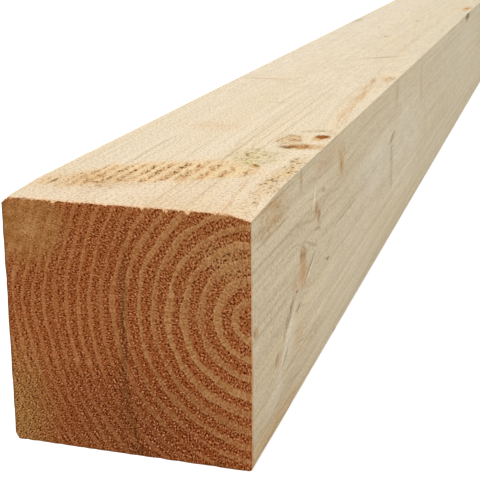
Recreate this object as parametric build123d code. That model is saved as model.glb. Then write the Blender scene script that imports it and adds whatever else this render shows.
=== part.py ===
from build123d import *
from math import hypot
import os

# A rough-sawn softwood post, one piece of timber, lying on its lower face.
# X runs across the post, Y along it and Z up, from the middle of the lower face.
# The near end, with the broken corners, is the one at -Y.

# Sawn section and length, in millimetres
WIDTH = 100.0
HEIGHT = 102.0
LENGTH = 2400.0

# The saw cut the right face a little out of square: the upper face is this much narrower than the lower one
OUT_OF_SQUARE = 0.8

# The log's pith runs beside the right face, at this distance outside it and height above the floor
PITH_OUTSIDE = 1.0
PITH_HEIGHT = 61.0

# Wane: at the near, thinner end the round log falls short of the arris furthest from its pith.
# The depth is measured at the near end, towards the pith, and fades to nothing along the length.
WANE_DEPTH = 1.3
WANE_LENGTH = 420.0

# The lower right arris is a little worn, all along
WORN_ARRIS_RADIUS = 1.0

# Chips broken from the upper corners of the near end: across the end, down it and back along the arris
RIGHT_CHIP_ACROSS = 9.0
RIGHT_CHIP_DOWN = 2.6
RIGHT_CHIP_BACK = 47.0
LEFT_CHIP_ACROSS = 2.4
LEFT_CHIP_DOWN = 2.4
LEFT_CHIP_BACK = 30.0

# The log is longer than the post by this much at each end
LOG_TRIM = 50.0

right = WIDTH / 2
upper_right = right - OUT_OF_SQUARE
near = -LENGTH / 2


def sawn_block():
    """The squared timber, a little out of square, with its lower right arris worn round."""
    outline = Polyline((-right, 0), (right, 0), (upper_right, HEIGHT), (-right, HEIGHT), close=True)
    block = extrude(Plane.XZ * make_face(outline), amount=LENGTH / 2, both=True)
    long_arrises = block.edges().filter_by(Axis.Y)
    lower_right = long_arrises.group_by(Axis.Z)[0].sort_by(Axis.X)[-1]
    return fillet(lower_right, WORN_ARRIS_RADIUS)


def tapered_log():
    """The log round its pith, thinner at the near end, so that its bark side leaves the wane."""
    furthest_rise = max(PITH_HEIGHT, HEIGHT - PITH_HEIGHT)
    furthest_arris = hypot(WIDTH + PITH_OUTSIDE, furthest_rise)
    taper = WANE_DEPTH / WANE_LENGTH
    log_length = LENGTH + 2 * LOG_TRIM
    near_radius = furthest_arris - WANE_DEPTH - taper * LOG_TRIM
    far_radius = near_radius + taper * log_length
    pith_start = Plane(origin=(right + PITH_OUTSIDE, near - LOG_TRIM, PITH_HEIGHT), z_dir=(0, 1, 0))
    upright = (Align.CENTER, Align.CENTER, Align.MIN)
    return pith_start * Cone(near_radius, far_radius, log_length, align=upright)


def break_corner(timber, corner_x, across, down, back):
    """Break an upper corner, given by its place across the post, off the near end along a flat."""
    side = 1 if corner_x > 0 else -1
    corner = Vector(corner_x, near, HEIGHT)
    on_end_edge = corner - Vector(side * across, 0, 0)
    on_end_side = corner - Vector(0, 0, down)
    on_arris = corner + Vector(0, back, 0)
    outward = (on_end_edge - on_arris).cross(on_end_side - on_arris) * side
    broken_flat = Plane(origin=on_arris, z_dir=outward)
    return split(timber, bisect_by=broken_flat, keep=Keep.BOTTOM)


post = sawn_block() & tapered_log()
post = break_corner(post, upper_right, RIGHT_CHIP_ACROSS, RIGHT_CHIP_DOWN, RIGHT_CHIP_BACK)
post = break_corner(post, -right, LEFT_CHIP_ACROSS, LEFT_CHIP_DOWN, LEFT_CHIP_BACK)
post.label = "timber_post"

os.makedirs("parts", exist_ok=True)
export_step(post, "parts/timber_post.step")
print(f"post {WIDTH:g} x {HEIGHT:g} x {LENGTH:g} mm, volume {post.volume / 1e9:.5f} cubic metres")
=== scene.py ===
# %% [markdown]
# # A rough-sawn timber post
# The post is one piece of softwood, squared on a saw and left rough. Its shape is simple, so nearly all of
# its character is in the surface: growth rings on the ends, fuzzy sawn faces, torn grain, knots and stains.
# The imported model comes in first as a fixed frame, and every measure below is taken from it.

# %% Load the frame
import bmesh
import bpy
from math import radians
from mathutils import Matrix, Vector


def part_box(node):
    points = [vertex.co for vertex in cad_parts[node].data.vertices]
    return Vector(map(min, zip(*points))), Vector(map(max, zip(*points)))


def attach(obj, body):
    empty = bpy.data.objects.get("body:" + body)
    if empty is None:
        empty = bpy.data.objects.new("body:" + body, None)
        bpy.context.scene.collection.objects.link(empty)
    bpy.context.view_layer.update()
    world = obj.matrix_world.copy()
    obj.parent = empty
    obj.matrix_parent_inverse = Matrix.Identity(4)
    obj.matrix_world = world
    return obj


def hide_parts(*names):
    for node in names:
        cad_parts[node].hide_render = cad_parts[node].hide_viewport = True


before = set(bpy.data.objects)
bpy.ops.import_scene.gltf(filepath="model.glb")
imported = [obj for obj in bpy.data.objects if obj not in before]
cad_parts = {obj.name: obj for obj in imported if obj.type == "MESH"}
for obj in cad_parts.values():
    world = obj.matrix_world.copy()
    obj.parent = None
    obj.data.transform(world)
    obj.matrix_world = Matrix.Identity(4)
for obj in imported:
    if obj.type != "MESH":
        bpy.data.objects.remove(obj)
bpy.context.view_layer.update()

MM = 0.001
low, high = (Vector(corner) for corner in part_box("timber_post"))
size = high - low
print("post, mm:", [round(side / MM, 1) for side in size])


# %% [markdown]
# A maker measures timber from its edges. So places on the post are given in millimetres from the left face,
# from the near end and from the lower face, and this helper turns them into the frame's metres.

# %% Places on the post
ACROSS, ALONG, UP = range(3)


def spot(across, along, up):
    """A place in the wood, from millimetres off the left face, the near end and the lower face."""
    return low + Vector((across, along, up)) * MM


WIDTH, LENGTH, HEIGHT = (side / MM for side in size)
print("middle of the near end:", spot(WIDTH / 2, 0, HEIGHT / 2))

# %% [markdown]
# The real post is a squared block, so a cube at its size is the natural start. It could also be a copy of the
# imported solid, but that has a few long triangles, which can't carry fine relief. The cube is cut into bands
# first, so that the arrises and the near end can have small faces and the long far stretch can have few.

# %% Add the block and cut it into bands
RIM = 5
NEAR_STRETCH = 165
MIDDLE_STRETCH = 400

bpy.ops.object.select_all(action="DESELECT")
bpy.ops.mesh.primitive_cube_add(size=1, location=(low + high) / 2, scale=size)
post = bpy.context.object
post.name = "sawn_post"
bpy.ops.object.transform_apply(location=True, rotation=True, scale=True)

band_edges = {
    ACROSS: [0, RIM, WIDTH - RIM, WIDTH],
    ALONG: [0, RIM, NEAR_STRETCH, MIDDLE_STRETCH, LENGTH - RIM, LENGTH],
    UP: [0, RIM, HEIGHT - RIM, HEIGHT],
}
bpy.ops.object.mode_set(mode="EDIT")
for axis, places in band_edges.items():
    for place in places[1:-1]:
        on_plane = low.copy()
        on_plane[axis] += place * MM
        across_plane = Vector((0, 0, 0))
        across_plane[axis] = 1
        bpy.ops.mesh.select_all(action="SELECT")
        bpy.ops.mesh.bisect(plane_co=on_plane, plane_no=across_plane)
print("faces after cutting the bands:", len(bmesh.from_edit_mesh(post.data).faces))


# %% [markdown]
# Each band is now subdivided on its own. Only the edges that run along one axis are selected, so a band is
# sliced like a loaf and stays a clean grid of four-sided faces. Cells are about half a millimetre at the
# arrises, two or three on the near stretch, and long and narrow far away, where relief follows the grain.

# %% Subdivide each band
SLACK = 0.01 * MM


def slice_band(axis, start, end, cells, where=lambda middle: True):
    """Cut the edges along an axis, between two places on it, into so many cells."""
    bpy.ops.mesh.select_mode(type="EDGE")
    bpy.ops.mesh.select_all(action="DESELECT")
    grid = bmesh.from_edit_mesh(post.data)
    first = low[axis] + start * MM
    last = low[axis] + end * MM
    for edge in grid.edges:
        a, b = (corner.co for corner in edge.verts)
        along = abs(a[axis] - b[axis]) > SLACK
        inside = min(a[axis], b[axis]) > first - SLACK and max(a[axis], b[axis]) < last + SLACK
        edge.select_set(along and inside and where((a + b) / 2))
    bmesh.update_edit_mesh(post.data)
    bpy.ops.mesh.subdivide(number_cuts=cells - 1)


band_cells = {
    ACROSS: [8, 36, 8],
    UP: [8, 36, 8],
    ALONG: [8, 84, 24, 16, 2],
}
for axis, cells in band_cells.items():
    places = band_edges[axis]
    for start, end, count in zip(places, places[1:], cells):
        slice_band(axis, start, end, count)
print("faces in the plain grid:", len(bmesh.from_edit_mesh(post.data).faces))

# %% [markdown]
# The surface has fine relief in a few places only, so only those get smaller cells: the upper and right faces
# near the end, the torn patch, the pitted end itself, and the ragged edge where the saw came out.

# %% Smaller cells where the relief is fine
TORN_AREA_ACROSS = 82
TORN_AREA_ALONG = 92
RAGGED_STRIP = 3


def on_top(middle):
    return middle.z > high.z - SLACK


def on_right(middle):
    return middle.x > high.x - SLACK


def on_end(middle):
    return middle.y < low.y + SLACK


def from_end(middle):
    return (middle.y - low.y) / MM


def refine(cells, where):
    """Cut every face whose middle passes a test into so many cells each way."""
    bpy.ops.mesh.select_mode(type="FACE")
    bpy.ops.mesh.select_all(action="DESELECT")
    grid = bmesh.from_edit_mesh(post.data)
    for face in grid.faces:
        face.select_set(where(face.calc_center_median()))
    bmesh.update_edit_mesh(post.data)
    bpy.ops.mesh.subdivide(number_cuts=cells - 1)


def in_near_part(middle):
    return RIM < from_end(middle) < MIDDLE_STRETCH


def in_torn_area(middle):
    across = (middle.x - low.x) / MM
    near_enough = RIM < across < TORN_AREA_ACROSS and RIM < from_end(middle) < TORN_AREA_ALONG
    return on_top(middle) and near_enough


def inside_end(middle):
    across = (middle.x - low.x) / MM
    up = (middle.z - low.z) / MM
    return on_end(middle) and RIM < across < WIDTH - RIM and RIM < up < HEIGHT - RIM


def at_ragged_edge(middle):
    from_top = (high.z - middle.z) / MM
    return from_end(middle) < RAGGED_STRIP and from_top < RAGGED_STRIP


slice_band(ACROSS, RIM, WIDTH - RIM, cells=2, where=lambda middle: on_top(middle) and in_near_part(middle))
slice_band(UP, RIM, HEIGHT - RIM, cells=2, where=lambda middle: on_right(middle) and in_near_part(middle))
refine(2, in_torn_area)
refine(5, inside_end)
slice_band(ACROSS, RIM, WIDTH - RIM, cells=6, where=at_ragged_edge)
bpy.ops.object.mode_set(mode="OBJECT")
print("triangles:", sum(len(face.vertices) - 2 for face in post.data.polygons))

# %% [markdown]
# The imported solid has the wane, the worn arris and the two broken corners of the real post. A Shrinkwrap
# modifier lays the fine grid on that solid, so these come over exactly, with no size written twice.

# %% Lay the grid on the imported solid
wrap = post.modifiers.new("solid_shape", "SHRINKWRAP")
wrap.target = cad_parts["timber_post"]
wrap.wrap_method = "NEAREST_SURFACEPOINT"
bpy.ops.object.modifier_apply(modifier=wrap.name)
print("after the wrap, mm:", [round(side / MM, 2) for side in post.dimensions])

# %% [markdown]
# Saw cuts across the grain and along it look like two different materials. The upper and the right face also
# have many knots and stains of their own, so the post gets four materials. A broken corner splits along the
# grain, so it belongs with the sawn faces, and the face normals tell which is which.

# %% Give the faces their material slots
FACING_END = 0.75
slots = ["end_grain", "upper_face", "right_face", "plain_face"]
for name in slots:
    post.data.materials.append(bpy.data.materials.new(name))


def side_of(normal):
    """Which of the six sides a face belongs to."""
    steepest = max(range(3), key=lambda axis: abs(normal[axis]))
    names = (("left", "right"), ("near", "far"), ("lower", "upper"))
    return names[steepest][normal[steepest] > 0]


def material_name(normal):
    if abs(normal.y) > FACING_END:
        return "end_grain"
    side = side_of(Vector((normal.x, 0, normal.z)))
    return side + "_face" if side in ("upper", "right") else "plain_face"


for face in post.data.polygons:
    face.material_index = slots.index(material_name(face.normal))
print("end grain faces:", sum(face.material_index == 0 for face in post.data.polygons))

# %% [markdown]
# The post also brings its own UV map, for the day its colours are baked to pictures. Each long face is a
# strip, and the two ends are squares. Distance along the post is squeezed towards the far end, so the near
# part, with most of the detail, gets most of each strip. Unwrapping by angle would give every part the same
# share.

# %% Lay out the UV map
SQUEEZE = 0.5
MARGIN = 0.006
strips = {"right": (0.0, 0.16), "upper": (0.16, 0.16), "left": (0.32, 0.08), "lower": (0.40, 0.08)}
squares = {"near": (0.0, 0.5, 0.5), "far": (0.52, 0.5, 0.3)}


def between(start, length, share):
    """A place in a stretch of the UV map, kept clear of its neighbours by a margin."""
    return start + MARGIN + share * (length - 2 * MARGIN)


def uv_at(side, corner):
    """Where a corner of the grid lies on the UV map."""
    across, along, up = ((corner - low)[axis] / size[axis] for axis in range(3))
    if side in squares:
        left, bottom, width = squares[side]
        return between(left, width, across), between(bottom, width, up)
    bottom, height = strips[side]
    share = across if side in ("upper", "lower") else up
    return between(0, 1, max(along, 0) ** SQUEEZE), between(bottom, height, share)


uv_map = post.data.uv_layers.new(name="OFBake")
for face in post.data.polygons:
    side = side_of(face.normal)
    for loop, vertex in zip(face.loop_indices, face.vertices):
        uv_map.data[loop].uv = uv_at(side, post.data.vertices[vertex].co)
print("UV corners placed:", len(uv_map.data))


# %% [markdown]
# Rings, knots and torn grain have to sit in the same place in the relief and in the colour. Geometry Nodes
# and the shader have the same Math, Noise and Vector nodes, so each pattern is written once, as a function
# that adds its nodes to whichever tree it is given. The Wire class lets such a function read as arithmetic.

# %% Node arithmetic
class Wire:
    """A value in a node tree. Arithmetic on wires adds the Math nodes that work it out."""

    def __init__(self, tree, socket):
        self.tree = tree
        self.socket = socket

    def __add__(self, other):
        return maths("ADD", self, other)

    def __sub__(self, other):
        return maths("SUBTRACT", self, other)

    def __rsub__(self, other):
        return maths("SUBTRACT", other, self)

    def __mul__(self, other):
        return maths("MULTIPLY", self, other)

    def __truediv__(self, other):
        return maths("DIVIDE", self, other)

    __radd__ = __add__
    __rmul__ = __mul__


def plug(value, socket):
    """Link a wire to a socket, or set the socket to a plain value."""
    if isinstance(value, Wire):
        value.tree.links.new(value.socket, socket)
    else:
        socket.default_value = value


def add_node(kind, tree, values, output=0, **settings):
    """Add a node, set it up, fill its sockets by name or number, and return one of its outputs."""
    made = tree.nodes.new(kind)
    for name, setting in settings.items():
        setattr(made, name, setting)
    for socket, value in values.items():
        plug(value, made.inputs[socket])
    return Wire(tree, made.outputs[output])


def tree_of(values):
    return next(value.tree for value in values if isinstance(value, Wire))


def maths(operation, *values):
    return add_node("ShaderNodeMath", tree_of(values), dict(enumerate(values)), operation=operation)


def vectors(operation, *values, output=0):
    sockets = dict(enumerate(values))
    return add_node("ShaderNodeVectorMath", tree_of(values), sockets, output, operation=operation)


print("node arithmetic ready")


# %% [markdown]
# A few nodes come up again and again: taking a vector apart, fading from 0 to 1 between two values, and soft
# noise. Each gets a short function, so that the patterns further on read as sentences about wood.

# %% Shorthand for common nodes
def parts_of(vector):
    """The x, y and z of a vector."""
    split = add_node("ShaderNodeSeparateXYZ", vector.tree, {0: vector}).socket.node
    return [Wire(vector.tree, socket) for socket in split.outputs]


def joined(x, y, z):
    return add_node("ShaderNodeCombineXYZ", tree_of((x, y, z)), {0: x, 1: y, 2: z})


def fade(value, start, end, curve="SMOOTHSTEP"):
    """0 at start and 1 at end, whichever of the two is the larger."""
    span = {"Value": value, "From Min": start, "From Max": end}
    return add_node("ShaderNodeMapRange", tree_of((value, start, end)), span, interpolation_type=curve)


def noise(place, per_metre, detail=2.0, output=0):
    """Soft noise with so many blotches a metre across, along and up."""
    stretched = vectors("MULTIPLY", place, per_metre)
    values = {"Vector": stretched, "Scale": 1.0, "Detail": detail}
    return add_node("ShaderNodeTexNoise", place.tree, values, output)


def swayed(place, per_metre, reach):
    """The place, moved about a little by slow noise."""
    sway = vectors("SUBTRACT", noise(place, per_metre, detail=1.0, output=1), (0.5, 0.5, 0.5))
    return vectors("ADD", place, vectors("MULTIPLY", sway, (reach, reach, reach)))


print("shorthand ready")


# %% [markdown]
# Knots, stains and tears are patches with a ragged outline. One function makes them all: a stretched and
# turned ball in the wood, whose edge is roughened by noise and may be crisp or soft. Streaks that are
# stretched like the ball itself break it up. Where the ball meets two faces, the mark runs round the arris as
# a knot does.

# %% Marks in the wood
SEED_WEIGHTS = (911.0, 373.0, 517.0)
STREAKS_IN_MARK = 2.4


def within(place, centre, half_size, turn):
    """A place as seen from inside a stretched and turned ball, whose skin lies 1 from its centre."""
    offset = vectors("SUBTRACT", place, centre)
    values = {"Vector": offset, "Rotation": turn}
    turned = add_node("ShaderNodeVectorRotate", place.tree, values, rotation_type="EULER_XYZ", invert=True)
    return vectors("DIVIDE", turned, half_size)


def mark(place, rough, centre, half_size, turn, ragged, soft, streaky):
    """1 inside a ball, fading to 0 over its ragged edge, with streaks along it."""
    inside = within(place, centre, half_size, turn)
    reach = vectors("LENGTH", inside, output=1)
    own_seed = vectors("DOT_PRODUCT", centre, SEED_WEIGHTS, output=1)
    values = {"Vector": inside, "W": own_seed, "Scale": STREAKS_IN_MARK}
    streaks = fade(add_node("ShaderNodeTexNoise", place.tree, values, noise_dimensions="4D"), 0.38, 0.6)
    edge = maths("MULTIPLY_ADD", rough - 0.5, ragged, reach)
    return fade(edge, 1.0 + soft, 1.0 - soft) * maths("MULTIPLY_ADD", streaks, streaky, 1.0 - streaky)


def turned_by(x=0, y=0, z=0):
    return Vector((radians(x), radians(y), radians(z)))


print("a quarter turn about z:", turned_by(z=90))

# %% [markdown]
# A tree lays down one ring a year round its pith. Here the pith runs just outside the right face, the rings
# are about 8 mm apart near it and 5 mm at the far side, and they are a little taller than wide. The function
# gives a ring number that is whole in the pale late wood. Round a knot the rings swell outwards, which is why
# grain lines sweep round it on a sawn face, so each knot adds a soft hump to the ring number.

# %% Growth rings
PITH = spot(102.2, 0, 61)
RINGS_FLAT = 0.93
RING_STEP = 6 * MM
RINGS_PER_M = 125.5
RINGS_CROWD = 562.0
LOG_TAPER = 0.0038
WANDER = 5 * MM
SMALL_WANDER = 2.5 * MM


def swelling(rings, centre, half_size, turn=turned_by()):
    """What a knot does to the rings: how many it adds, where, and how far round."""
    return rings, spot(*centre), Vector(half_size) * MM, turn


swellings = [
    swelling(0.8, (9, -6, 92), (17, 30, 15)),
    swelling(0.9, (76, 92, 102), (14, 22, 16), turned_by(z=22)),
    swelling(1.1, (90, 128, 102), (11, 24, 14), turned_by(z=-10)),
    swelling(0.7, (100, 66, 33), (14, 46, 15), turned_by(x=54)),
    swelling(0.5, (100, 111, 73), (10, 15, 10)),
    swelling(0.6, (100, 166, 86), (10, 26, 14), turned_by(x=16)),
    swelling(0.7, (96, 333, 102), (12, 34, 12)),
    swelling(0.8, (97, 850, 102), (12, 60, 12)),
]


def plain_rings(place):
    """Ring number in straight wood: whole numbers are late wood, and the pith is near 0."""
    along = parts_of(place)[1]
    wandering = swayed(swayed(place, (14.0, 2.0, 14.0), WANDER), (75.0, 8.0, 75.0), SMALL_WANDER)
    x, _, z = parts_of(wandering)
    from_pith_x = x - PITH.x
    from_pith_z = (z - PITH.z) * RINGS_FLAT
    radius = maths("SQRT", from_pith_x * from_pith_x + from_pith_z * from_pith_z)
    radius = radius - (along - low.y) * LOG_TAPER
    return radius * (radius * RINGS_CROWD + RINGS_PER_M)


def growth_rings(place):
    """Ring number with the swelling round each knot."""
    ring = plain_rings(place)
    uneven = (noise(place, (160.0, 30.0, 160.0), detail=1.0) - 0.5) * 0.3
    for rings, centre, half_size, turn in swellings:
        reach = vectors("LENGTH", within(place, centre, half_size, turn), output=1)
        ring = ring + fade(reach + uneven, 1.9, 0.1) * rings
    return ring


def part_of_year(ring):
    """How much of its year a place has behind it, with 0.5 in the middle of the late wood."""
    return maths("FRACT", ring + 0.5)


def late_wood(ring, share):
    """1 on the pale late-wood band, which takes up this share of each ring."""
    year = part_of_year(ring)
    half = share * 0.5
    return fade(year, 0.42 - half, 0.58 - half) * fade(year, half + 0.56, half + 0.44)


def early_wood(ring):
    """1 in the middle of the soft early wood, between two bands of late wood."""
    return fade(maths("ABSOLUTE", part_of_year(ring) - 0.5), 0.14, 0.4)


def ring_line(ring):
    """1 on the dark line where one year ends."""
    year = part_of_year(ring)
    return fade(year, 0.6, 0.74) * fade(year, 0.86, 0.76)


print("pith, mm from the lower left near corner:", [round(v / MM, 1) for v in PITH - low])

# %% [markdown]
# Where the saw met sloping grain round a knot it tore the soft wood out and left the hard late wood standing
# as ridges. On the upper face this patch is a slanting crescent, so its middle line is a curve across the
# width. Each ring stops at its own place, which gives the patch its fingers, and the grain runs aslant in it.

# %% The torn patch
TORN_MIDDLE = 41.5 * MM
TORN_HALF_WIDTH = 37 * MM
TORN_HALF_LENGTH = 20 * MM
TORN_DEPTH = 14 * MM
TORN_SLANT = 0.04
CURVE_START = 24.5 * MM
CURVE_RISE = 0.98
CURVE_BEND = 5.6


def torn_patch(place):
    """How far out of the torn patch a place is, with 1 at its edge, and the ring number of its grain."""
    x, y, z = parts_of(vectors("SUBTRACT", place, spot(0, 0, HEIGHT)))
    middle = CURVE_START + x * CURVE_RISE - x * x * CURVE_BEND
    from_middle = y - middle
    slanted = vectors("ADD", place, joined(from_middle * -TORN_SLANT, 0.0, 0.0))
    ring = plain_rings(slanted) + (noise(place, (330.0, 110.0, 330.0)) - 0.5) * 0.6
    fingers = noise(joined(maths("ROUND", ring), y * 40.0, 0.0), (1.7, 1.0, 1.0), detail=1.0)
    along = from_middle / TORN_HALF_LENGTH
    across = (x - TORN_MIDDLE) / TORN_HALF_WIDTH
    reach = maths("SQRT", along * along + across * across) + (fingers - 0.5) * 0.9
    return reach + fade(z, -0.5 * TORN_DEPTH, -TORN_DEPTH) * 3.0, ring


def in_patch(reach):
    """1 well inside the torn patch, fading over its edge."""
    return fade(reach, 1.1, 0.7)


def plucked(place):
    """1 in the short slits where single fibres were plucked out."""
    return fade(noise(place, (880.0, 480.0, 880.0)), 0.52, 0.62)


print("torn patch, mm:", [round(2 * half / MM) for half in (TORN_HALF_WIDTH, TORN_HALF_LENGTH)])

# %% [markdown]
# A cross-cut saw breaks fibres out where it leaves the wood, so the upper edge of the near end is ragged. The
# notches are noise along the edge, used for the shape of the edge and for the bare wood that shows in it. The
# end itself is full of small holes between standing fibres, which are the lows and highs of one fine noise.
# It is measured round the pith and out from it, so that holes are short dashes along the rays, as they are in
# wood.

# %% Ragged edge and gritty ends
NOTCH_REACH = 2.6 * MM
GRIT_PER_METRE = (2000.0, 1080.0, 0.0)


def notches(place):
    """1 where fibres are broken out of the edge."""
    fine = fade(noise(place, (480.0, 60.0, 60.0), detail=3.0), 0.42, 0.66)
    return fine * maths("MULTIPLY_ADD", fade(noise(place, (90.0, 20.0, 20.0)), 0.4, 0.6), 0.8, 0.2)


def round_heart(place, heart):
    """Direction from the heart of a stem or a branch, as an angle off the left, and distance from it."""
    x, _, z = parts_of(vectors("SUBTRACT", place, heart))
    return maths("ARCTAN2", z, x * -1.0), maths("SQRT", x * x + z * z)


def grit(place, ring):
    """Noise of the cut fibres, drawn out along the rays: low in the holes, high on the standing fibres."""
    angle, radius = round_heart(place, PITH)
    round_ring = angle * (maths("FLOOR", ring) + 0.5) * RING_STEP
    return noise(joined(round_ring, radius, 0.0), GRIT_PER_METRE)


def holes(grain):
    return fade(grain, 0.49, 0.38)


print("notches reach, mm:", round(NOTCH_REACH / MM, 1))

# %% [markdown]
# The relief is cut into the grid by Geometry Nodes. Sawn faces get the ripple of the blade and raised grain,
# as much above their plain level as below it, so the post keeps its size. The torn patch gets deep furrows
# between its ridges, and the ends get pits. Only the lower face keeps to one side of its level, because the
# post rests on its raised grain. A Displace modifier moves points along their normals, which folds the grid
# at the arrises. Here each face sinks straight in and takes the wood behind it along, less and less with
# depth.

# %% Cut the relief
YIELD = 4 * MM
LATE_SHARE = 0.4
SMOOTH_ANGLE = 55

# How deep each kind of relief is, in millimetres
RIPPLE_DEPTH = 0.15
GRAIN_DEPTH = 0.08
RAISED_GRAIN = 0.16
HOLE_DEPTH = 0.3
SOFT_DEPTH = 0.12
END_WAVE = 0.2
NOTCH_DEPTH = 1.2

relief_tree = bpy.data.node_groups.new("sawn_relief", "GeometryNodeTree")
relief_tree.is_modifier = True
relief_tree.interface.new_socket("Geometry", in_out="INPUT", socket_type="NodeSocketGeometry")
relief_tree.interface.new_socket("Geometry", in_out="OUTPUT", socket_type="NodeSocketGeometry")
grid_in = Wire(relief_tree, relief_tree.nodes.new("NodeGroupInput").outputs[0])
here = add_node("GeometryNodeInputPosition", relief_tree, {})
x, y, z = parts_of(here)

ring = growth_rings(here)
late = late_wood(ring, LATE_SHARE)
ripple = noise(here, (55.0, 130.0, 55.0), detail=3.0)
grain = noise(here, (420.0, 30.0, 420.0), detail=1.0)
torn_reach, torn_ring = torn_patch(here)
furrows = early_wood(torn_ring) * (plucked(here) * 0.8 + 0.7)
swell = (ripple - 0.5) * RIPPLE_DEPTH + (grain - late) * GRAIN_DEPTH
sawn_depth = swell + in_patch(torn_reach) * furrows

soft_wood = 1.0 - late * 0.75
end_depth = soft_wood * (holes(grit(here, ring)) * HOLE_DEPTH + SOFT_DEPTH)
end_depth = end_depth + noise(here, (120.0, 120.0, 120.0)) * END_WAVE

broken = fade(y - low.y, NOTCH_REACH, 0.0, "LINEAR") * fade(high.z - z, NOTCH_REACH, 0.0, "LINEAR")
broken = broken * (notches(here) + 0.1) * NOTCH_DEPTH


def sink(value, axis, low_depth, high_depth):
    """Move towards the middle of the post, from each of the two faces that lie across this axis."""
    from_low = fade(value, low[axis] + YIELD, low[axis], "LINEAR") * low_depth
    from_high = fade(value, high[axis] - YIELD, high[axis], "LINEAR") * high_depth
    return (from_low - from_high) * MM


move_x = sink(x, ACROSS, sawn_depth, sawn_depth)
move_y = sink(y, ALONG, end_depth, end_depth) + broken * MM
move_z = sink(z, UP, swell + RAISED_GRAIN, sawn_depth) - broken * MM
moved = {"Geometry": grid_in, "Offset": joined(move_x, move_y, move_z)}
grid_out = relief_tree.nodes.new("NodeGroupOutput")
plug(add_node("GeometryNodeSetPosition", relief_tree, moved), grid_out.inputs[0])

relief = post.modifiers.new("sawn_relief", "NODES")
relief.node_group = relief_tree
bpy.ops.object.modifier_apply(modifier=relief.name)
bpy.ops.object.shade_smooth_by_angle(angle=radians(SMOOTH_ANGLE))
print("with relief, mm:", [round(side / MM, 2) for side in post.dimensions])


# %% [markdown]
# Colours are written as they look on a screen, from 0 to 255, and turned into the linear values that Blender
# mixes. Patterns that more than one material uses become shader node groups with named sockets.

# %% Colours and shader groups
def colour(red, green, blue):
    """A colour as seen on a screen, made linear."""
    channels = [channel / 255 for channel in (red, green, blue)]
    return [c / 12.92 if c <= 0.04045 else ((c + 0.055) / 1.055) ** 2.4 for c in channels] + [1.0]


def shader_group(name, inputs, outputs, build):
    """Wrap a pattern function in a shader node group with named sockets."""
    tree = bpy.data.node_groups.new(name, "ShaderNodeTree")
    for label, kind in inputs.items():
        tree.interface.new_socket(label, in_out="INPUT", socket_type=f"NodeSocket{kind}")
    for label, kind in outputs.items():
        tree.interface.new_socket(label, in_out="OUTPUT", socket_type=f"NodeSocket{kind}")
    entry = tree.nodes.new("NodeGroupInput")
    results = build(*[Wire(tree, socket) for socket in entry.outputs if socket.name])
    leave = tree.nodes.new("NodeGroupOutput")
    for value, socket in zip(results, leave.inputs):
        plug(value, socket)
    return tree


def use_group(tree, group, values):
    """Place a node group in a material and return its outputs."""
    made = tree.nodes.new("ShaderNodeGroup")
    made.node_tree = group
    for label, value in values.items():
        plug(value, made.inputs[label])
    return [Wire(tree, socket) for socket in made.outputs]


def ring_pattern(place, share, rough):
    """Late wood, year lines and streaks at a place. Streaks follow the rings, so they sweep round knots."""
    ring = growth_rings(place)
    flow = joined(ring * RING_STEP, parts_of(place)[1], 0.0)
    uneven = ring + (noise(place, (380.0, 25.0, 380.0)) - 0.5) * rough
    streaks = noise(flow, (420.0, 7.0, 0.0))
    fibres = noise(flow, (1000.0, 20.0, 0.0))
    return ring, late_wood(uneven, share), ring_line(uneven), streaks, fibres


rings_group = shader_group(
    "growth_rings",
    {"Place": "Vector", "Late Share": "Float", "Rough": "Float"},
    {"Ring": "Float", "Late Wood": "Float", "Year Line": "Float", "Streaks": "Float", "Fibres": "Float"},
    ring_pattern)
mark_group = shader_group(
    "wood_mark",
    {"Place": "Vector", "Rough": "Float", "Centre": "Vector", "Half Size": "Vector", "Turn": "Vector",
     "Ragged": "Float", "Soft": "Float", "Streaky": "Float"},
    {"Mask": "Float"},
    lambda *values: [mark(*values)])
print("shader groups:", rings_group.name, mark_group.name)


# %% [markdown]
# A material is painted in layers, each blended over the last. A Mix node has sockets for numbers and vectors
# besides those for colours, so its colour sockets are picked by number. Marks are laid on by a loop, and
# their edges waver because the place that they are given is swayed by slow noise.

# %% Painting the wood
MIX_FACTOR, MIX_FIRST, MIX_SECOND, MIX_RESULT = 0, 6, 7, 2
DARKEST = (0.04, 0.04, 0.04)


def blend(first, second, share, mode="MIX"):
    """Mix two colours, each a wire or a plain colour."""
    values = {MIX_FACTOR: share, MIX_FIRST: first, MIX_SECOND: second}
    settings = {"data_type": "RGBA", "blend_type": mode}
    return add_node("ShaderNodeMix", tree_of((first, second, share)), values, MIX_RESULT, **settings)


def shaded(tint, change, weights):
    """A colour made lighter or darker, by so much for each of red, green and blue."""
    factor = joined(*[maths("MULTIPLY_ADD", change, weight, 1.0) for weight in weights])
    return blend(tint, vectors("MAXIMUM", factor, DARKEST), 1.0, mode="MULTIPLY")


def start_material(name, roughness):
    """Set up a material for dry wood and return its tree, shader and place in the wood."""
    material = bpy.data.materials[name]
    material.use_nodes = True
    tree = material.node_tree
    shader = tree.nodes["Principled BSDF"]
    plug(roughness, shader.inputs["Roughness"])
    plug(0.0, shader.inputs["Specular IOR Level"])
    return tree, shader, add_node("ShaderNodeTexCoord", tree, {}, "Object")


def add_bump(tree, shader, height, distance, strength):
    values = {"Height": height, "Distance": distance, "Strength": strength}
    plug(add_node("ShaderNodeBump", tree, values), shader.inputs["Normal"])


def edge_noise(place):
    """The noise that roughens the edges of marks."""
    return noise(place, (450.0, 80.0, 450.0))


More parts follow.
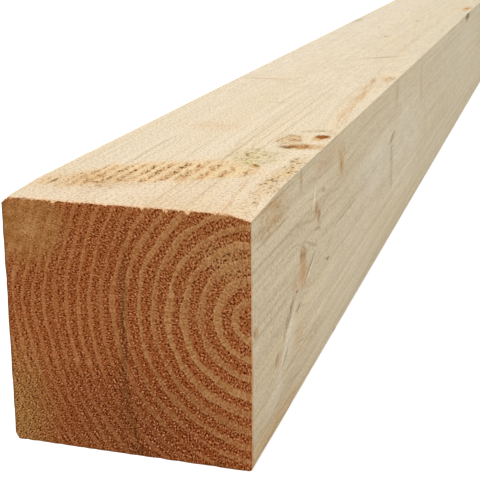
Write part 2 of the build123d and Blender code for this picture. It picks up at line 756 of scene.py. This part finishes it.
def add_marks(place, wood, marks):
    """Lay each mark's colour over the wood, and return the wood and how pitted it is."""
    wavy = swayed(swayed(place, (70.0, 22.0, 70.0), 2.5 * MM), (260.0, 90.0, 260.0), 1.2 * MM)
    rough = edge_noise(place)
    pitted = None
    for tint, strength, pit_share, values in marks:
        mask = use_group(place.tree, mark_group, {"Place": wavy, "Rough": rough, **values})[0]
        wood = blend(wood, tint, mask * strength)
        if pit_share:
            more = mask * pit_share
            pitted = more if pitted is None else maths("MAXIMUM", pitted, more)
    return wood, pitted


print("materials to paint:", slots)


# %% [markdown]
# The sawn faces are a warm cream. Each knot, stain or tear that shows on the real post is placed one by one.
# On the upper face a mark has a colour, a strength, its place across and along the post, and half its size
# each way. It can be crisp or soft, streaky along the grain, and pitted.

# %% Marks on the upper face
MARK_DEPTH = 5


def stain(tint, strength, centre, half_size, turn, pit_share=0.0, streaky=0.6, ragged=0.9, soft=0.4):
    """What is needed to place one mark: its colour, how strong it is, and where it lies."""
    values = {"Centre": spot(*centre), "Half Size": Vector(half_size) * MM, "Turn": turn}
    values.update({"Ragged": ragged, "Soft": soft, "Streaky": streaky})
    return tint, strength, pit_share, values


def upper(tint, strength, across, along, half_across, half_along, turn=0, **kind):
    half_size = (half_across, half_along, MARK_DEPTH)
    return stain(tint, strength, (across, along, HEIGHT), half_size, turned_by(z=turn), **kind)


OLIVE = colour(216, 196, 142)
STRAW = colour(224, 192, 142)
ORANGE = colour(214, 166, 106)
BROWN = colour(166, 112, 58)
RED_BROWN = colour(140, 74, 12)
DARK = colour(108, 64, 24)
ROSE = colour(226, 188, 152)
PALE = colour(244, 232, 206)
LIGHT = colour(255, 242, 214)
BLOOM = colour(246, 234, 211)
DUSK = colour(170, 146, 106)
CHALK = colour(238, 224, 202)

upper_marks = [
    upper(ROSE, 0.28, 52, 14, 60, 38, soft=0.8),
    upper(STRAW, 0.3, 80, 4, 34, 12, soft=0.9, streaky=0.3),
    upper(ORANGE, 0.55, 85, 36, 1.0, 36, turn=5, soft=0.6, streaky=1.0, ragged=1.4),
    upper(DUSK, 0.55, 25, 92, 0.45, 36, streaky=0.3, soft=0.4, ragged=0.5),
    upper(OLIVE, 0.8, 74.5, 95, 9, 14, turn=22, pit_share=0.8, soft=0.8, streaky=0.6),
    upper(OLIVE, 0.95, 76.5, 80, 2.4, 7, turn=40, streaky=0.4),
    upper(ORANGE, 0.7, 79, 76.5, 2.0, 4.5, turn=35, streaky=0.3),
    upper(DARK, 0.8, 79.6, 77.6, 1.2, 2.4, turn=35, streaky=0.3),
    upper(ORANGE, 0.38, 25, 34, 13, 13, turn=-20, pit_share=0.8, soft=0.8, streaky=0.7),
    upper(STRAW, 0.8, 94.5, 62, 4.0, 40, pit_share=1.0, ragged=1.6, soft=0.7),
    upper(PALE, 0.5, 95, 107, 5, 9, soft=0.7),
    upper(ORANGE, 0.9, 89.5, 121.5, 9, 6.5, turn=18, soft=0.6, streaky=0.7, pit_share=0.3),
    upper(BROWN, 0.9, 86.5, 120.5, 7, 4.6, turn=20, streaky=0.8),
    upper(DARK, 0.8, 83, 118.4, 3.6, 2.8, turn=18, streaky=0.5),
    upper(ORANGE, 0.9, 92.6, 142.5, 4.0, 7, streaky=0.4),
    upper(RED_BROWN, 1.0, 93.4, 145.8, 3.4, 4.6, streaky=0.2),
    upper(DUSK, 0.7, 87, 158.5, 6.5, 2.8, turn=28, soft=0.6, streaky=0.9),
    upper(STRAW, 1.0, 79.5, 137, 5.5, 10, pit_share=0.6, soft=0.6),
    upper(BROWN, 0.6, 75.6, 135, 0.9, 9, turn=-8, streaky=0.6),
    upper(BROWN, 0.55, 79.5, 144.4, 3.6, 1.6, turn=-20, streaky=0.6),
    upper(BROWN, 0.75, 82.5, 134.5, 3.4, 2.2, turn=-25, streaky=0.6),
    upper(ORANGE, 0.25, 36, 158, 14, 10, soft=0.8),
    upper(ORANGE, 0.65, 89.5, 255, 2.6, 75, turn=3, pit_share=0.5, soft=0.8, streaky=0.8),
    upper(BROWN, 0.4, 85.5, 328, 1.4, 11, turn=5),
    upper(ORANGE, 0.55, 93.5, 338, 4, 12, pit_share=0.6, streaky=0.6),
    upper(ROSE, 0.5, 26, 318, 10, 7, soft=0.8),
    upper(BROWN, 0.55, 15, 319, 13, 1.6, turn=6, soft=0.6, streaky=0.5),
    upper(DUSK, 0.55, 72, 443, 15, 2.2, turn=44, soft=0.6, streaky=0.4),
    upper(DUSK, 0.15, 48, 233, 18, 2.5, soft=0.6),
    upper(CHALK, 0.45, 14, 700, 36, 430, soft=0.5, streaky=0.3),
    upper(ORANGE, 0.8, 93, 870, 4, 26),
    upper(BROWN, 0.7, 93, 872, 1.6, 12),
    upper(DUSK, 0.5, 3, 710, 5, 16, soft=0.7),
    upper(BROWN, 0.6, 52, 580, 1.5, 5),
    upper(BROWN, 0.5, 34, 650, 1.5, 5),
    upper(BROWN, 0.5, 60, 720, 1.5, 6),
]
print("marks on the upper face:", len(upper_marks))


# %% [markdown]
# On the right face a mark's place and size are given along the post and up it. Here are a branch that was
# sawn aslant, with a pale ridge and dark slits beside it, small knots, and a pale bloom further along. The
# ridge is pale wood with a painted highlight, and the dark lines beside it are painted shade in its grooves.

# %% Marks on the right face
def right(tint, strength, along, up, half_along, half_up, turn=0, **kind):
    half_size = (MARK_DEPTH, half_along, half_up)
    return stain(tint, strength, (WIDTH, along, up), half_size, turned_by(x=turn), **kind)


right_marks = [
    right(ORANGE, 0.7, 32, 94, 20, 6, pit_share=0.5, ragged=1.5, soft=0.7),
    right(BROWN, 0.55, 28, 87, 30, 0.7),
    right(ORANGE, 0.8, 7.5, 54.5, 2.6, 2.2),
    right(BROWN, 0.7, 5, 55, 1.4, 1.0),
    right(BROWN, 0.4, 77, 96.5, 2.6, 4.5, soft=0.6),
    right(ROSE, 0.5, 130, 95, 26, 5, soft=0.7),
    right(BROWN, 0.75, 82, 62.6, 6, 3.6, turn=-12, soft=0.6),
    right(ORANGE, 0.8, 82.5, 54.5, 5.5, 6.5, soft=0.8, streaky=0.3),
    right(ROSE, 0.8, 71, 52.5, 8, 4.6, soft=0.8),
    right(DARK, 0.8, 71.2, 49.4, 1.5, 0.6, streaky=0.2),
    right(ROSE, 0.6, 92, 48.5, 8, 4.5, soft=0.8),
    right(DUSK, 0.7, 96, 53, 11, 0.9, turn=23, streaky=0.3),
    right(LIGHT, 0.8, 97, 51, 9, 1.2, turn=23),
    right(DUSK, 0.45, 97.6, 63, 12, 0.9, turn=-18),
    right(ROSE, 0.9, 109.5, 75, 5.5, 4.6, turn=-35, soft=0.6),
    right(BROWN, 0.55, 108, 76.5, 2.6, 2.2),
    right(BROWN, 0.65, 113.6, 71.8, 3.4, 2.8),
    right(DUSK, 0.7, 111, 66.5, 6.5, 0.8, turn=-8),
    right(LIGHT, 0.9, 103, 82, 6, 1.8, turn=60),
    right(DUSK, 0.6, 122, 82, 5, 1.2, turn=-10),
    right(OLIVE, 0.5, 137, 53, 7, 3, soft=0.7),
    # The scar ridge: its pale line is pale wood with a painted highlight, and the dark lines and dashes
    # beside it are painted shade in its grooves.
    right(LIGHT, 0.8, 57, 35.5, 17, 2.0, turn=36, soft=0.5, streaky=0.2, ragged=0.7),
    right(DUSK, 0.8, 54, 40.5, 13, 1.8, turn=37, streaky=0.9),
    right(DARK, 0.4, 61, 44.5, 6, 1.4, turn=38, streaky=0.7),
    right(DARK, 0.6, 51, 27, 5.5, 1.3, turn=25, streaky=0.5),
    right(DARK, 0.55, 37, 31, 3.4, 1.3, turn=40, streaky=0.4),
    right(DARK, 0.55, 74.5, 41.2, 4, 1.1, turn=14, streaky=0.4),
    right(BLOOM, 0.75, 61, 32.5, 9, 5, turn=36, soft=0.8),
    right(BLOOM, 0.6, 38, 18, 15, 7, turn=30, soft=0.8, streaky=0.4),
    right(ROSE, 0.8, 75.7, 27.5, 6, 4.4, soft=0.8),
    right(ROSE, 0.8, 40, 29.6, 4, 3.2, soft=0.8),
    right(LIGHT, 0.5, 113, 25, 17, 3.4, turn=-3, soft=0.8, streaky=1.0),
    right(DUSK, 0.45, 111, 18.5, 15, 2.4, turn=-4, soft=0.7, streaky=1.0),
    right(ORANGE, 0.5, 30, 5, 34, 5, soft=0.8, pit_share=0.2),
    right(ORANGE, 0.5, 50, 0, 70, 3.5, soft=0.7, streaky=0.8),
    right(BROWN, 0.7, 0, 18, 2.2, 46, soft=0.8, streaky=0.3),
    right(DARK, 0.8, 133, 45.3, 3.4, 0.6, turn=-8, streaky=0.2),
    right(ORANGE, 0.6, 164, 88, 8, 7.5, soft=0.6),
    right(BROWN, 0.6, 163, 85, 2.6, 3),
    right(DUSK, 0.6, 178, 57, 30, 0.8),
    right(BLOOM, 0.4, 195, 26, 75, 34, soft=0.9, streaky=0.4),
    right(BLOOM, 0.75, 270, 64, 48, 18, soft=0.8, ragged=1.2, streaky=0.4),
    right(DUSK, 0.15, 14, 14, 60, 34, soft=0.9, streaky=0.3),
    right(BLOOM, 0.75, 385, 54, 66, 28, soft=0.8, ragged=1.2, streaky=0.4),
    right(BLOOM, 0.2, 800, 66, 90, 26, soft=0.8, ragged=1.2, streaky=0.4),
    right(DUSK, 0.75, 327, 67, 11, 2, turn=12),
    right(DUSK, 0.4, 326, 50, 5, 16, turn=6, soft=0.6),
    right(DUSK, 0.35, 341, 93, 5, 8, soft=0.6),
    right(DUSK, 0.25, 460, 84, 5, 16, turn=8, soft=0.7),
    right(DARK, 0.8, 812, 101, 20, 5, soft=0.6),
    right(DARK, 0.8, 153, 0, 4, 2),
]
print("marks on the right face:", len(right_marks))

# %% [markdown]
# The sawn-face material layers these patterns: slow drifts of tint, year lines, the torn patch, the marks,
# and last the fuzz of the saw, which also feeds the bump. Everything reads Object coordinates, so it stays in
# the wood.

# %% The sawn-face material
CREAM = colour(237, 219, 191)
SIDE_CREAM = colour(236, 218, 185)
HONEY = colour(231, 209, 168)
LINE_TAN = colour(196, 168, 124)
TORN_TAN = colour(238, 204, 154)
PALE_RIDGE_HIGHLIGHT = colour(244, 218, 172)
FURROW_SHADE = colour(210, 162, 108)
PIT_BROWN = colour(118, 78, 38)
BARE_EDGE = colour(132, 82, 46)
EDGE_RUST = colour(232, 168, 112)
# The far tints are painted light: the far stretch is tinted as the light fell there, darker and greyer on the
# upper face.
FAR_GREY = colour(224, 211, 185)
SIDE_FAR = colour(236, 223, 195)


def torn_wood(place, wood):
    """Lay the torn patch over the wood: pale ridges of late wood with a painted highlight, and furrows with
    painted shade and slits between them.
    """
    reach, ring = torn_patch(place)
    torn = in_patch(reach)
    furrow = early_wood(ring) * torn
    wood = blend(wood, TORN_TAN, fade(reach, 1.4, 0.7) * 0.75)
    # Painted highlight on the pale late-wood ridges.
    wood = blend(wood, PALE_RIDGE_HIGHLIGHT, late_wood(ring, LATE_SHARE) * torn * 0.6)
    broken = fade(noise(place, (190.0, 170.0, 190.0)), 0.36, 0.6)
    # Painted shade in the furrows, made patchy by noise.
    wood = blend(wood, FURROW_SHADE, furrow * maths("MULTIPLY_ADD", broken, 0.5, 0.2))
    return blend(wood, PIT_BROWN, plucked(place) * (furrow * 0.9 + torn * 0.15))


def edge_wood(place, wood, rust):
    """Stain the wood beside the near end, and bare the broken edge at the top of it."""
    _, y, z = parts_of(place)
    at_end = y - low.y
    ragged = notches(place)
    wide_stain = fade(at_end, 7.0 * MM, 0.0) * 0.15
    stained = wide_stain + fade(at_end - ragged * 1.5 * MM, 2.4 * MM, 0.4 * MM)
    wood = blend(wood, EDGE_RUST, stained * rust)
    bare = fade(at_end - ragged * 2.0 * MM, 0.6 * MM, 0.1 * MM)
    return blend(wood, BARE_EDGE, bare * fade(z, high.z - 30 * MM, high.z - 2 * MM) * 0.7)


def sawn_material(name, marks, near_tint, far_tint, specks, streaks, rust, torn=False):
    """Build the material of a sawn face, with its own marks and its own share of specks and streaks."""
    tree, shader, place = start_material(name, roughness=0.85)
    ring_values = {"Place": place, "Late Share": LATE_SHARE, "Rough": 0.25}
    _, late, year_line, wide_streaks, fine_streaks = use_group(tree, rings_group, ring_values)
    along = parts_of(place)[1] - low.y

    # Slow drifts of tint, and a painted change of light towards the far end
    drift = noise(place, (60.0, 4.0, 60.0))
    wood = blend(near_tint, far_tint, fade(along, 80 * MM, 700 * MM))
    wood = blend(wood, HONEY, fade(drift, 0.4, 0.7) * 0.28 + late * 0.12)

    # Year lines and thin dark lines, clearest near the end
    clear = 1.0 - fade(along, 80 * MM, 400 * MM) * 0.6
    patchy = fade(noise(place, (110.0, 9.0, 110.0)), 0.4, 0.65)
    thin_lines = fade(noise(place, (420.0, 2.5, 420.0), detail=1.0), 0.62, 0.7)
    wood = blend(wood, LINE_TAN, (year_line * (patchy * 0.3 + 0.06) + thin_lines * 0.35) * clear)

    # The torn patch, the marks and the edge at the near end
    if torn:
        wood = torn_wood(place, wood)
    if marks:
        wood, pitted = add_marks(place, wood, marks)
        pits = noise(place, (640.0, 330.0, 640.0))
        wood = blend(wood, PIT_BROWN, pitted * fade(pits, 0.52, 0.68))
    wood = edge_wood(place, wood, rust)

    # The fuzz of the saw, and streaks along the grain
    fuzz = noise(place, (1000.0, 700.0, 1000.0), detail=1.0)
    dark_specks = fade(fuzz, 0.5, 0.32) - 0.16
    tufted = (noise(place, (330.0, 70.0, 330.0)) - 0.5) * (1.0 - clear)
    rough_saw = (fuzz - 0.5 - dark_specks * 0.35 + tufted) * specks
    lines = noise(place, (260.0, 4.0, 260.0), detail=4.0) - 0.5
    sweeping = fine_streaks * 0.5 + wide_streaks * 0.3 - 0.4
    change = rough_saw + (lines + sweeping) * (clear * 0.5 + 0.5) * streaks
    plug(shaded(wood, change, (0.92, 1.0, 1.14)), shader.inputs["Base Color"])
    add_bump(tree, shader, fuzz, distance=0.1 * MM, strength=0.5)
    print(name, "nodes:", len(tree.nodes))


sawn_material("upper_face", upper_marks, CREAM, FAR_GREY, specks=0.52, streaks=0.17, rust=0.38, torn=True)
sawn_material("right_face", right_marks, SIDE_CREAM, SIDE_FAR, specks=0.31, streaks=0.41, rust=0.5)
sawn_material("plain_face", [], CREAM, FAR_GREY, specks=0.4, streaks=0.4, rust=0.4)

# %% [markdown]
# On the ends the saw cut across the fibres. Soft early wood tore into orange bands, and the harder late wood
# was left smoother and paler. The pale bands are wide near the pith and thin further out. Some years are
# paler than others, and each has a light line at its outer edge. A knot, a golden corner and dark streaks lie
# over them.

# %% Bands and stains of the end grain
END_MARK_DEPTH = 30
PALE_NEAR = colour(170, 123, 77)
PALE_FAR = colour(168, 110, 66)
TORN_BAND = colour(148, 82, 40)
TORN_INNER = colour(154, 93, 50)
HOLE_SHADE = colour(84, 28, 2)
FIBRE_END_HIGHLIGHT = colour(200, 138, 94)
KNOT_SMOOTH = colour(160, 110, 61)
STAR = colour(178, 130, 80)
GOLD = colour(160, 120, 64)
RED_BAND = colour(146, 72, 32)
STREAK = colour(106, 58, 26)
OLIVE_STREAK = colour(104, 68, 34)
YEAR_EDGE = colour(188, 144, 95)
HANGING = colour(232, 196, 148)


def end_stain(tint, strength, across, up, half_across, half_up, turn=0, **kind):
    half_size = (half_across, END_MARK_DEPTH, half_up)
    return stain(tint, strength, (across, 0, up), half_size, turned_by(y=turn), streaky=0.0, **kind)


tree, shader, place = start_material("end_grain", roughness=0.8)
angle, radius = round_heart(place, PITH)
outer = fade(radius, 25 * MM, 75 * MM)
unsteady = noise(place, (60.0, 60.0, 60.0))
share = 0.38 - outer * 0.1 + (unsteady - 0.5) * 1.1
ring, late = use_group(tree, rings_group, {"Place": place, "Late Share": share, "Rough": 0.3})[:2]

good_year = noise(joined(maths("ROUND", ring), angle * 0.5, 0.0), (0.77, 1.0, 0.0), detail=1.0)
late = late * maths("MULTIPLY_ADD", fade(good_year, 0.36, 0.56), 0.35, 0.65)
torn = blend(TORN_INNER, TORN_BAND, outer)
red_part = end_stain(RED_BAND, 0.6, 68, 26, 36, 40, turn=-35, soft=0.9)
torn = add_marks(place, torn, [red_part])[0]
wood = blend(torn, blend(PALE_NEAR, PALE_FAR, outer), late * 0.83)
year_edge = fade(maths("ABSOLUTE", part_of_year(ring) - share * 0.5 - 0.46), 0.07, 0.02)
wood = blend(wood, YEAR_EDGE, year_edge * (0.45 - outer * 0.33))

corner_knot = end_stain(KNOT_SMOOTH, 0.9, 10, 91, 15, 13, turn=-30, ragged=0.5)
wood, gritty = add_marks(place, wood, [
    corner_knot,
    end_stain(STAR, 0.8, 11, 90, 3, 4, turn=30, soft=0.9),
    end_stain(GOLD, 0.7, 1.5, 11, 12, 24, soft=0.9, pit_share=1.3),
    end_stain(OLIVE_STREAK, 0.6, 48.5, 48, 1.4, 36, turn=2, ragged=1.2, soft=0.7),
    end_stain(OLIVE_STREAK, 0.6, 51.5, 14, 1.4, 18, turn=-11, ragged=1.2, soft=0.7),
    end_stain(STREAK, 0.48, 49, 10, 33, 24, soft=0.9, pit_share=1.2),
    end_stain(PALE_NEAR, 0.75, 91, 83, 12, 6, turn=25, soft=0.7),
    end_stain(STREAK, 0.8, 54, 1, 5, 2.5, soft=0.5),
    end_stain(STREAK, 0.9, 86, 0.5, 4, 2, soft=0.5),
])
print("bands and stains:", len(tree.nodes), "nodes")

# %% [markdown]
# The torn bands are full of holes and standing fibre ends, with painted shade in the holes and a painted
# highlight on the fibre ends. They come from the same grit that pits the relief, so a dark hole is also a
# deep one. Fine rays run out from the pith and from the heart of the knot.
# The rim is darker below and on the left, and loose fibres hang over the upper edge.

# %% Holes, fibre ends and rays
knot_mark = {"Place": place, "Rough": edge_noise(place), **corner_knot[-1]}
smooth_knot = use_group(tree, mark_group, knot_mark)[0]

knot_heart = spot(11, 0, 90)
knot_angle, knot_radius = round_heart(place, knot_heart)
knot_rays = noise(joined(knot_angle * 3.0, knot_radius * 160.0, 0.0), (1.0, 1.0, 1.0))
round_ring = angle * maths("ROUND", ring) * RING_STEP
rays = noise(joined(round_ring, radius, 0.0), (1400.0, 45.0, 0.0), detail=1.0)

soft_wood = (1.0 - late * 0.8) * (1.0 - smooth_knot * 0.6)
grain = grit(place, ring)
# Painted shade in the holes and a painted highlight on the standing fibre ends. The grit also lightens and
# darkens the wood in the lines below.
wood = blend(wood, HOLE_SHADE, holes(grain) * soft_wood)
wood = blend(wood, FIBRE_END_HIGHLIGHT, fade(grain, 0.56, 0.68) * soft_wood * 0.85)
change = (rays - 0.5) * (late + 0.4) + (grain - 0.5) * (gritty + 1.2)
change = change + (knot_rays - 0.5) * smooth_knot * 1.2
wood = shaded(wood, change, (0.62, 1.0, 1.7))

from_left, _, from_below = parts_of(vectors("SUBTRACT", place, low))
rim = fade(maths("MINIMUM", from_left, from_below), 1.0 * MM, 0.2 * MM)
wood = blend(wood, DARK, rim * 0.6)
tufts = fade(noise(place, (330.0, 60.0, 60.0), detail=3.0), 0.46, 0.68)
hanging = fade(size.z - from_below - tufts * 1.5 * MM, 0.3 * MM, -0.1 * MM)
wood = blend(wood, HANGING, hanging * 0.9)
plug(wood, shader.inputs["Base Color"])
add_bump(tree, shader, grain, distance=0.3 * MM, strength=0.3)
print("end grain nodes:", len(tree.nodes))

# %% [markdown]
# The post lies on a plain white floor. The floor shows as white to the camera, by Light Path, but still takes
# the shadow, because only part of its brightness comes from there.

# %% Floor
FLOOR_REACH = 30
FLOOR_GREY = 0.76
FLOOR_GLOW = 0.5
WHITE = (1.0, 1.0, 1.0, 1.0)

bpy.ops.object.select_all(action="DESELECT")
bpy.ops.mesh.primitive_plane_add(size=FLOOR_REACH, location=(0, 0, low.z))
floor = bpy.context.object
floor.name = "floor"
white = bpy.data.materials.new("floor_white")
floor.data.materials.append(white)
white.use_nodes = True
shader = white.node_tree.nodes["Principled BSDF"]
plug((FLOOR_GREY, FLOOR_GREY, FLOOR_GREY, 1.0), shader.inputs["Base Color"])
plug(0.95, shader.inputs["Roughness"])
plug(WHITE, shader.inputs["Emission Color"])
seen = add_node("ShaderNodeLightPath", white.node_tree, {}, "Is Camera Ray")
plug(seen * FLOOR_GLOW, shader.inputs["Emission Strength"])
print("floor, m:", [round(side) for side in floor.dimensions])

# %% [markdown]
# Soft light comes from above and in front, so the upper face is the brightest, the end is well lit and the
# right face lies in half shade. The sky fills in from all sides, and shows as plain white behind the floor.

# %% Light
SKY_STRENGTH = 0.45
SUN_STRENGTH = 2.15
SUN_TIP = 32
SUN_LEAN = 1
SUN_SPREAD = 30

world = bpy.data.worlds.new("soft_sky")
world.use_nodes = True
sky = world.node_tree.nodes["Background"]
plug(WHITE, sky.inputs["Color"])
seen = add_node("ShaderNodeLightPath", world.node_tree, {}, "Is Camera Ray")
plug(seen * (1.0 - SKY_STRENGTH) + SKY_STRENGTH, sky.inputs["Strength"])
bpy.context.scene.world = world
bpy.ops.object.light_add(type="SUN", rotation=(radians(SUN_TIP), radians(SUN_LEAN), 0))
sun = bpy.context.object
sun.name = "soft_sun"
sun.data.energy = SUN_STRENGTH
sun.data.angle = radians(SUN_SPREAD)
print("lights:", world.name, sun.name)

# %% [markdown]
# The camera stands near the end, a little to the right, and looks down along the post. Its place, direction
# and lens come from the edges of the post in the picture, which also fix the proportions of the section.

# %% Camera
CAMERA_SPOT = spot(203.7, -364.9, 207.7)
AZIMUTH = 16.55
ELEVATION = 16.81
FOCAL_PIXELS = 1104.0
PICTURE_PIXELS = 480
SENSOR = 36.0

looking = (radians(90 - ELEVATION), 0, radians(AZIMUTH))
bpy.ops.object.camera_add(location=CAMERA_SPOT, rotation=looking)
camera = bpy.context.object
camera.data.sensor_width = SENSOR
camera.data.lens = SENSOR * FOCAL_PIXELS / PICTURE_PIXELS
bpy.context.scene.camera = camera
bpy.context.scene.view_settings.view_transform = "Standard"
print("lens, mm:", round(camera.data.lens, 1))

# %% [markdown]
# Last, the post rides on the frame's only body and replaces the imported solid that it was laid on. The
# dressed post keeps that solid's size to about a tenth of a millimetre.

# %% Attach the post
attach(post, "root")
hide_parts("timber_post")
